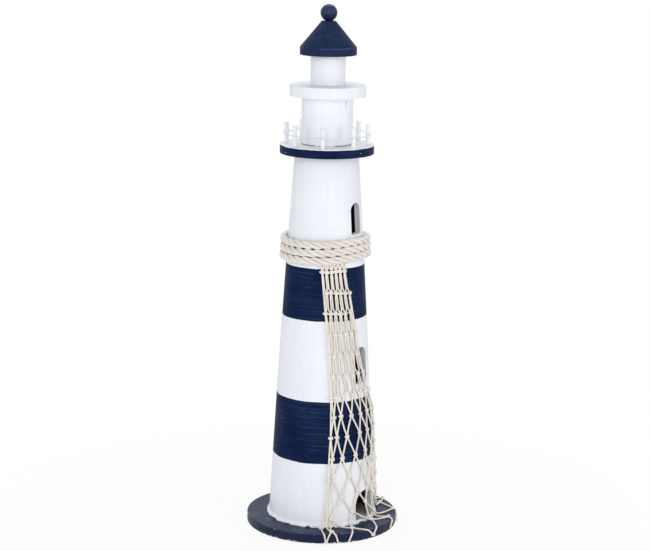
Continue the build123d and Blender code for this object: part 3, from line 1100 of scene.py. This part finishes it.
def make_foot_bead(material):
    shape = bmesh.new()
    inner = foot_radius - bead_inset
    outline = [
        (inner, base_top - bead_sink),
        (foot_radius + bead_reach, base_top - bead_sink),
        (foot_radius + bead_reach, base_top + bead_rise * 0.25),
        (foot_radius + bead_reach * 0.55, base_top + bead_rise * 0.65),
        (foot_radius + bead_reach * 0.1, base_top + bead_rise),
        (inner, base_top + bead_rise),
    ]
    corners = [shape.verts.new(polar(radius, 90, z)) for radius, z in outline]
    edges = [shape.edges.new(pair) for pair in zip(corners, corners[1:] + corners[:1])]
    bmesh.ops.spin(
        shape,
        geom=[*edges, *corners],
        axis=(0, 0, 1),
        cent=(0, 0, 0),
        angle=2 * math.pi,
        steps=bead_steps,
        use_merge=True,
    )
    for vertex in shape.verts:
        out = from_axis(vertex.co)
        if out.length < foot_radius - bead_inset / 2:
            continue
        lump = noise.noise(vertex.co * bead_lump_scale) * bead_lump
        lump += noise.noise(vertex.co * bead_grit_scale) * bead_grit
        vertex.co += out.normalized() * lump
        if vertex.co.z > base_top:
            vertex.co.z += lump * bead_lump_lift
    mesh = bpy.data.meshes.new("foot_paint_bead")
    write_mesh(shape, mesh, material)
    bead = add_object("foot_paint_bead", mesh)
    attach(bead, "root")


# Floor, world and lamps
studio_white = (1, 1, 1, 1)
floor_size = 6.0
floor_bounce = (0.86, 0.86, 0.86, 1)
floor_lit = (0.9, 0.9, 0.9, 1)
# Distances from the base's middle at which its shadow is gone and full, and its share of the floor
shadow_reach = (0.55, 0.12)
shadow_share = 0.12
world_colour = (0.89, 0.93, 1.0, 1)
world_strength = 0.53
lamp_aim = Vector((0, 0, 0.3))
# Soft lamps: name, degrees round from the camera, distance, height, width, depth, power and colour
softboxes = [
    ("softbox_front", -5, 2.2, 1.2, 0.8, 0.8, 14.5, (1, 1, 1)),
    ("softbox_right", 58, 1.9, 0.4, 0.7, 1.0, 10.2, (1, 1, 1)),
    ("softbox_left", -55, 1.9, 0.4, 0.7, 1.0, 7.4, (0.92, 0.93, 1.0)),
    ("softbox_top", 180, 0.9, 2.0, 1.4, 1.4, 16, (1, 1, 1)),
]


def seen_rays(tree):
    """1 for the rays that show the studio itself: from the camera, off a gloss or through glass."""
    rays = tree.nodes.new("ShaderNodeLightPath")
    seen = rays.outputs["Is Camera Ray"]
    for kind in ("Is Glossy Ray", "Is Transmission Ray"):
        either = tree.nodes.new("ShaderNodeMath")
        either.operation = "MAXIMUM"
        tree.links.new(seen, either.inputs[0])
        tree.links.new(rays.outputs[kind], either.inputs[1])
        seen = either.outputs[0]
    return seen


def make_floor():
    """A plain floor that shows white, with a share of the shadow round the base."""
    shape = bmesh.new()
    bmesh.ops.create_grid(shape, x_segments=1, y_segments=1, size=floor_size)
    mesh = bpy.data.meshes.new("studio_floor")
    shape.to_mesh(mesh)
    shape.free()
    floor = add_object("studio_floor", mesh)
    finish = Finish("studio_white")
    tree = finish.tree
    tree.nodes.remove(finish.shader)
    bounce = finish.add("ShaderNodeBsdfDiffuse", {"Color": floor_bounce})
    lit = finish.add("ShaderNodeBsdfDiffuse", {"Color": floor_lit})
    white = finish.add("ShaderNodeEmission", {"Color": studio_white, "Strength": 1.0})
    share = finish.times(finish.ramp(finish.radius(), *shadow_reach), shadow_share)
    shown = finish.add("ShaderNodeMixShader", {0: share, 1: white.outputs[0], 2: lit.outputs[0]})
    sides = {0: seen_rays(tree), 1: bounce.outputs[0], 2: shown.outputs[0]}
    both = finish.add("ShaderNodeMixShader", sides)
    tree.links.new(both.outputs[0], tree.nodes["Material Output"].inputs[0])
    mesh.materials.append(finish.material)


def make_world():
    """Pale light from all round, and plain white where the studio itself is seen."""
    world = bpy.data.worlds.new("studio_world")
    scene.world = world
    world.use_nodes = True
    tree = world.node_tree
    tree.nodes.clear()
    mix = tree.nodes.new("ShaderNodeMixShader")
    tree.links.new(seen_rays(tree), mix.inputs[0])
    lights = [(world_colour, world_strength), (studio_white, 1.0)]
    for number, (colour, strength) in enumerate(lights, start=1):
        light = tree.nodes.new("ShaderNodeBackground")
        light.inputs["Color"].default_value = colour
        light.inputs["Strength"].default_value = strength
        tree.links.new(light.outputs[0], mix.inputs[number])
    output = tree.nodes.new("ShaderNodeOutputWorld")
    tree.links.new(mix.outputs[0], output.inputs["Surface"])


def light_studio():
    """Large soft lamps, each turned towards the middle of the tower."""
    for name, turn, distance, height, width, depth, power, colour in softboxes:
        lamp = bpy.data.lights.new(name, "AREA")
        lamp.shape = "RECTANGLE"
        lamp.size = width
        lamp.size_y = depth
        lamp.energy = power
        lamp.color = colour
        box = add_object(name, lamp)
        heading = Matrix.Rotation(math.radians(camera_azimuth + turn), 3, "Z")
        place = heading @ Vector((0, -distance, height))
        box.location = place
        box.rotation_euler = (lamp_aim - place).to_track_quat("-Z", "Y").to_euler()


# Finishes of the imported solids
def dress(node, material):
    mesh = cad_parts[node].data
    mesh.materials.clear()
    mesh.materials.append(material)


def dress_solids():
    joints = [z for z, _ in tower_outline]
    for ring, low, high in zip(tower_rings, joints, joints[1:]):
        dress(ring, ring_paint(ring + "_paint", "navy" in ring, low, high))
    white = white_paint()
    wood = bare_wood()
    dress("base_disc", base_paint())
    dress("gallery_disc", gallery_paint())
    dress("lantern_room", lantern_paint())
    for node in ["canopy_disc", "lantern_drum", *railing_posts]:
        dress(node, white)
    dress("roof_cone", roof_paint())
    dress("finial_ball", ball_paint())
    for node in ["tower_top_plug", "gallery_dowel", "canopy_dowel", "roof_dowel", "finial_dowel"]:
        dress(node, wood)
    dress("base_screws", zinc_steel())


place_camera()
make_world()
make_floor()
light_studio()
dress_solids()
make_foot_bead(bead_paint())
rope_fibre = twisted_fibre(
    "rope_fibre",
    rope_pale,
    rope_dark,
    yarns=6,
    turns=36,
    fuzz_scale=900,
    depth=0.00015,
    groove_shade=rope_groove_shade,
)
make_rope(rope_fibre)
net_twine = twisted_fibre(
    "net_twine", twine_pale, twine_dark, yarns=3, turns=6, fuzz_scale=1500, depth=0.00015
)
make_net(net_twine)
string_fibre = twisted_fibre(
    "rail_string", string_pale, string_dark, yarns=2, turns=90, fuzz_scale=2500, depth=0.0001
)
make_string(string_fibre)

scene.view_settings.view_transform = "Standard"
